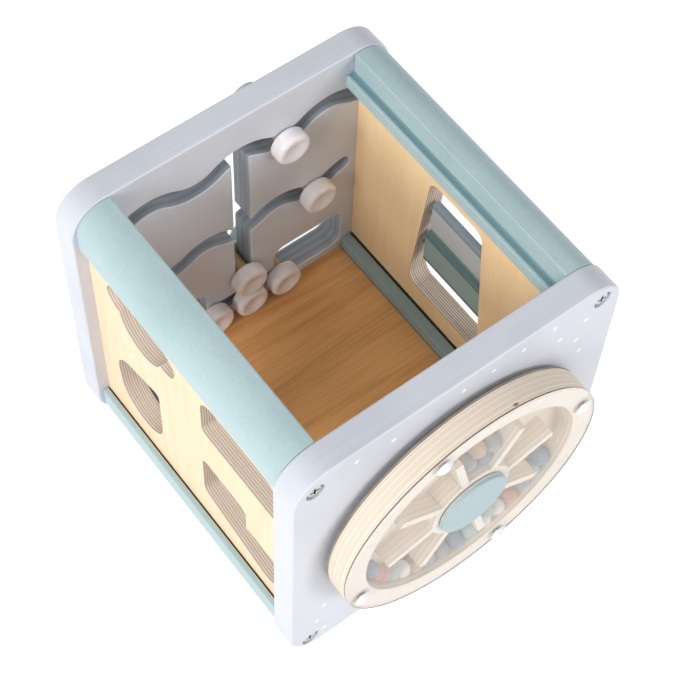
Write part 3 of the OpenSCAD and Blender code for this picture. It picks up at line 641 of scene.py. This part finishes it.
BORE_PLAY, BORE_FLOOR = 0.02, 0.05  # room round and past a shaft's end in its disc
BACK_ROUND, FRONT_ROUND, DISH_DEPTH = 1.6, 2.7, 2.5  # the disc's edges and its dish
BACK_STEPS, FRONT_STEPS, DISH_STEPS = 4, 8, 10
DISH_STEP_SHARE = 10.6  # a little over the steps, so the last ring keeps some width
DISH_CURVE = 0.8
TURNED_SIDES = 64
TURNED_WELD = 0.002


def alone(piece):
    """Makes one piece the only selected and active object."""
    bpy.ops.object.select_all(action="DESELECT")
    piece.select_set(True)
    bpy.context.view_layer.objects.active = piece


def choose_sharp(angle):
    """Selects the active piece's sharp edges and goes back to object mode."""
    bpy.ops.object.mode_set(mode="EDIT")
    bpy.ops.mesh.select_mode(type="EDGE")
    bpy.ops.mesh.select_all(action="DESELECT")
    bpy.ops.mesh.edges_select_sharp(sharpness=math.radians(angle))
    bpy.ops.object.mode_set(mode="OBJECT")


def move_points(piece, chosen, move):
    """Moves some of the active piece's points."""
    bpy.ops.object.mode_set(mode="EDIT")
    bpy.ops.mesh.select_mode(type="VERT")
    bpy.ops.mesh.select_all(action="DESELECT")
    bpy.ops.object.mode_set(mode="OBJECT")
    for index in chosen:
        piece.data.vertices[index].select = True
    bpy.ops.object.mode_set(mode="EDIT")
    bpy.ops.transform.translate(value=move)
    bpy.ops.object.mode_set(mode="OBJECT")


def clear_corners(piece, reach):
    """Moves the wall points that crowd sharp inner corners, so a wide rounding has room there."""
    choose_sharp(INNER_CORNER)
    points = [point.co.copy() for point in piece.data.vertices]
    corners = set()
    for edge in piece.data.edges:
        start, end = (points[i] for i in edge.vertices)
        if edge.select and math.hypot(end.x - start.x, end.z - start.z) < NEAR * MM:
            corners.update(edge.vertices)
    moves = {}
    for corner in corners:
        for index, point in enumerate(points):
            way = point - points[corner]
            if index not in corners and abs(way.y) < NEAR * MM and way.length < reach:
                move = way.normalized() * reach - way
                moves.setdefault((round(move.x, 6), round(move.z, 6)), []).append(index)
    for (across, up), crowded in moves.items():
        move_points(piece, crowded, (across, 0.0, up))


def crisp_rims(node):
    """The holes along Y whose rims stay crisp, as (x, z, reach): screw holes and pin holes."""
    if node in ("front_panel", "rear_panel"):
        low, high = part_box("rear_screws")
        head = SCREW_HEAD * MM
        columns = (low.x + head, high.x - head)
        rows = (low.z + head, high.z - head)
        return [(x, z, SCREW_RIM * MM) for x in columns for z in rows]
    if node in ("upper_board", "lower_board"):
        low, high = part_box(node + "_pins")
        return [((low.x + high.x) / 2, (low.z + high.z) / 2, PIN_RIM * MM)]
    return []


def weigh_edges(piece, rims):
    """Marks the sharp edges that get a rounding: all of them but the crisp rims."""
    choose_sharp(SHARP_EDGE)
    marks = piece.data.attributes.new("bevel_weight_edge", "FLOAT", "EDGE")
    for edge in piece.data.edges:
        point = piece.data.vertices[edge.vertices[0]].co
        rim = any(math.hypot(point.x - x, point.z - z) < reach for x, z, reach in rims)
        marks.data[edge.index].value = 1.0 if edge.select and not rim else 0.0


def copied(node, name):
    """A free copy of a solid, its loose triangles welded and joined into whole faces."""
    piece = NODES[node].copy()
    piece.data = NODES[node].data.copy()
    piece.name = name
    piece.parent = None
    bpy.context.scene.collection.objects.link(piece)
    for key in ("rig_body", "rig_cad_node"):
        if key in piece:
            del piece[key]
    alone(piece)
    bpy.ops.object.mode_set(mode="EDIT")
    bpy.ops.mesh.select_all(action="SELECT")
    bpy.ops.mesh.remove_doubles(threshold=WELD * MM)
    bpy.ops.mesh.dissolve_limited(angle_limit=math.radians(FLAT_FACE))
    bpy.ops.object.mode_set(mode="OBJECT")
    if piece.data.has_custom_normals:
        bpy.ops.mesh.customdata_custom_splitnormals_clear()
    return piece


def eased(node, name, radius):
    """A copy of a solid whose sharp edges are rounded as a sander or a paint coat leaves them."""
    piece = copied(node, name)
    rounding = piece.modifiers.new("rounding", "BEVEL")
    rounding.width = radius
    rounding.segments = ROUNDING_STEPS
    rounding.limit_method = "ANGLE"
    rounding.angle_limit = math.radians(SHARP_EDGE)
    rounding.use_clamp_overlap = False
    rounding.miter_outer = "MITER_ARC"
    if node == "rear_panel":
        clear_corners(piece, CORNER_ROOM * radius)
    rims = crisp_rims(node)
    if rims:
        weigh_edges(piece, rims)
        rounding.limit_method = "WEIGHT"
        rounding.loop_slide = False
    bpy.ops.object.modifier_apply(modifier="rounding")
    if node in ("wheel_ring", "wheel_spokes", "wheel_hub"):
        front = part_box("wheel_ring")[0].y
        points = piece.data.vertices
        face = [point.index for point in points if abs(point.co.y - front) < NEAR * MM]
        move_points(piece, face, (0.0, COVER_GAP * MM, 0.0))
    finish_piece(piece, node, SMOOTH_EDGE)
    even = piece.modifiers.new("even_faces", "WEIGHTED_NORMAL")
    even.keep_sharp = True
    bpy.ops.object.modifier_apply(modifier="even_faces")


def finish_piece(piece, node, smooth):
    """Smooths a piece, gives it its solid's finish, and lets it ride on the same body."""
    alone(piece)
    bpy.ops.object.shade_smooth_by_angle(angle=math.radians(smooth))
    piece.data.materials.clear()
    piece.data.materials.append(FINISHES[SLOT_OF[node]])
    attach(piece, BODY_OF[node])
    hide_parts(node)


def quarter(steps):
    """The angles of a quarter turn in even steps, both ends included."""
    return [math.radians(90.0 * step / steps) for step in range(steps + 1)]


def moulded_disc(knob):
    """A knob's inner disc: thick and round-edged, with a wide dish and a blind hole behind."""
    low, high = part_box(knob + "_disc")
    shaft_low, shaft_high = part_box(knob + "_shaft")
    outer = (high.x - low.x) / 2
    bore = (shaft_high.x - shaft_low.x) / 2 + BORE_PLAY * MM
    back, front, dish = BACK_ROUND * MM, FRONT_ROUND * MM, DISH_DEPTH * MM
    rings = [(bore, shaft_low.y - BORE_FLOOR * MM), (bore, high.y)]
    for turn in quarter(BACK_STEPS):
        inset, drop = back * (1.0 - math.sin(turn)), back * (1.0 - math.cos(turn))
        rings.append((outer - inset, high.y - drop))
    for turn in quarter(FRONT_STEPS):
        inset, drop = front * (1.0 - math.cos(turn)), front * (1.0 - math.sin(turn))
        rings.append((outer - inset, low.y + drop))
    rim = outer - front
    for step in range(1, DISH_STEPS + 1):
        reach = rim * (1.0 - step / DISH_STEP_SHARE)
        sink = dish * (0.5 + 0.5 * math.cos(math.pi * reach / rim)) ** DISH_CURVE
        rings.append((reach, low.y + sink))
    piece = turned("moulded_" + knob + "_disc", rings, (low + high) / 2)
    finish_piece(piece, knob + "_disc", MOULDED_EDGE)


def turned(name, rings, middle):
    """A round piece about an axis along Y, drawn out ring by ring from (radius, y) pairs."""
    bpy.ops.object.select_all(action="DESELECT")
    radius, depth = rings[0]
    bpy.ops.mesh.primitive_circle_add(
        vertices=TURNED_SIDES, radius=radius, fill_type="NGON",
        location=(middle.x, depth, middle.z), rotation=(math.radians(90.0), 0.0, 0.0),
    )
    piece = bpy.context.active_object
    piece.name = name
    bpy.ops.object.transform_apply(location=True, rotation=True, scale=True)
    bpy.ops.object.mode_set(mode="EDIT")
    bpy.ops.mesh.select_mode(type="FACE")
    bpy.ops.mesh.select_all(action="SELECT")
    for next_radius, next_depth in rings[1:]:
        move = {"value": (0.0, next_depth - depth, 0.0)}
        bpy.ops.mesh.extrude_region_move(TRANSFORM_OT_translate=move)
        scale = next_radius / radius
        centre = (middle.x, next_depth, middle.z)
        bpy.ops.transform.resize(value=(scale, 1.0, scale), center_override=centre)
        radius, depth = next_radius, next_depth
    bpy.ops.mesh.select_all(action="SELECT")
    bpy.ops.mesh.remove_doubles(threshold=TURNED_WELD * MM)
    bpy.ops.mesh.normals_make_consistent(inside=False)
    bpy.ops.object.mode_set(mode="OBJECT")
    return piece


for node, radius in EASED.items():
    eased(node, "eased_" + node, radius * MM)
for knob in KNOBS:
    moulded_disc(knob)
    eased(knob + "_knob", "turned_" + knob + "_knob", KNOB_HEAD_EASED * MM)


# Studio, in metres

SENSOR_WIDTH, FOCAL_LENGTH = 36.0, 98.27  # in mm
CLOSEST, FURTHEST = 0.05, 20.0
CAMERA_PLACE = (-0.31576, -0.38617, 0.95526)
CAMERA_AXES = (  # its right, its top and its back
    (0.79639, -0.60420, 0.02664),
    (0.51109, 0.69591, 0.50447),
    (-0.32334, -0.38814, 0.86302),
)
LAMPS = (  # name, place, width and power in watts
    ("front_lamp", (1.2, -2.9, 1.2), 1.1, 34.0),
    ("left_lamp", (-2.4, -0.5, 1.5), 1.3, 51.0),
)
CUBE_MIDDLE = (0.0, 0.0, 0.1)
FLOOR_WIDTH = 8.0
FLOOR_DROP = 0.0005
FLOOR_GLOW = 0.62
ROOM_LIGHT = 0.52
WHITE = (1.0, 1.0, 1.0, 1.0)


def camera():
    """A camera at the photograph's viewing angle, above the cube's front left corner."""
    lens = bpy.data.cameras.new("camera")
    lens.sensor_width = SENSOR_WIDTH
    lens.lens = FOCAL_LENGTH
    lens.clip_start = CLOSEST
    lens.clip_end = FURTHEST
    stand = bpy.data.objects.new("camera", lens)
    bpy.context.scene.collection.objects.link(stand)
    turn = Matrix(CAMERA_AXES).transposed().to_4x4()
    stand.matrix_world = Matrix.Translation(Vector(CAMERA_PLACE)) @ turn
    bpy.context.scene.camera = stand


def lamp(name, place, size, power):
    """A square soft lamp aimed at the middle of the cube."""
    light = bpy.data.lights.new(name, "AREA")
    light.size = size
    light.energy = power
    stand = bpy.data.objects.new(name, light)
    bpy.context.scene.collection.objects.link(stand)
    stand.location = place
    aim = Vector(CUBE_MIDDLE) - Vector(place)
    stand.rotation_mode = "QUATERNION"
    stand.rotation_quaternion = aim.to_track_quat("-Z", "Y")


def paper(name):
    """White studio paper: it takes the object's shadow, and shows white where it is lit."""
    sheet = Finish(name, Roughness=0.9, Specular_IOR_Level=0.0)
    fibre = sheet.noise(300.0)
    sheet.feed("Base Color", sheet.blend(shown(0.93, 0.93, 0.93), shown(0.95, 0.95, 0.95), fibre))
    seen, glossy, through = (
        sheet.node("ShaderNodeLightPath", out=ray)
        for ray in ("Is Camera Ray", "Is Glossy Ray", "Is Transmission Ray")
    )
    any_ray = sheet.node(
        "ShaderNodeMath", {"operation": "ADD", "use_clamp": True}, {0: seen + glossy, 1: through},
    )
    plain = Value(sheet, sheet.shader.outputs[0])
    glow = sheet.node("ShaderNodeEmission", inputs={"Color": WHITE, "Strength": FLOOR_GLOW})
    both = sheet.node("ShaderNodeAddShader", inputs={0: plain, 1: glow})
    mixed = sheet.node("ShaderNodeMixShader", inputs={0: any_ray, 1: plain, 2: both})
    sheet.tree.links.new(mixed.socket, sheet.tree.nodes["Material Output"].inputs["Surface"])
    return sheet.material


def studio_floor():
    """A wide sheet of paper just under the cube."""
    bpy.ops.object.select_all(action="DESELECT")
    bpy.ops.mesh.primitive_plane_add(size=FLOOR_WIDTH, location=(0.0, 0.0, -FLOOR_DROP))
    floor = bpy.context.active_object
    floor.name = "studio_floor"
    floor.data.materials.append(paper("paper"))


def world():
    """Even light from all round, and plain white where the camera sees past the paper."""
    room = bpy.data.worlds.new("studio")
    bpy.context.scene.world = room
    room.use_nodes = True
    tree = room.node_tree
    around = tree.nodes["Background"]
    seen = tree.nodes.new("ShaderNodeBackground")
    ray = tree.nodes.new("ShaderNodeLightPath")
    mix = tree.nodes.new("ShaderNodeMixShader")
    for light, strength in ((around, ROOM_LIGHT), (seen, 1.0)):
        light.inputs["Color"].default_value = WHITE
        light.inputs["Strength"].default_value = strength
    tree.links.new(ray.outputs["Is Camera Ray"], mix.inputs[0])
    tree.links.new(around.outputs[0], mix.inputs[1])
    tree.links.new(seen.outputs[0], mix.inputs[2])
    tree.links.new(mix.outputs[0], tree.nodes["World Output"].inputs["Surface"])


camera()
studio_floor()
world()
for name, place, size, power in LAMPS:
    lamp(name, place, size, power)
bpy.context.scene.view_settings.view_transform = "Standard"
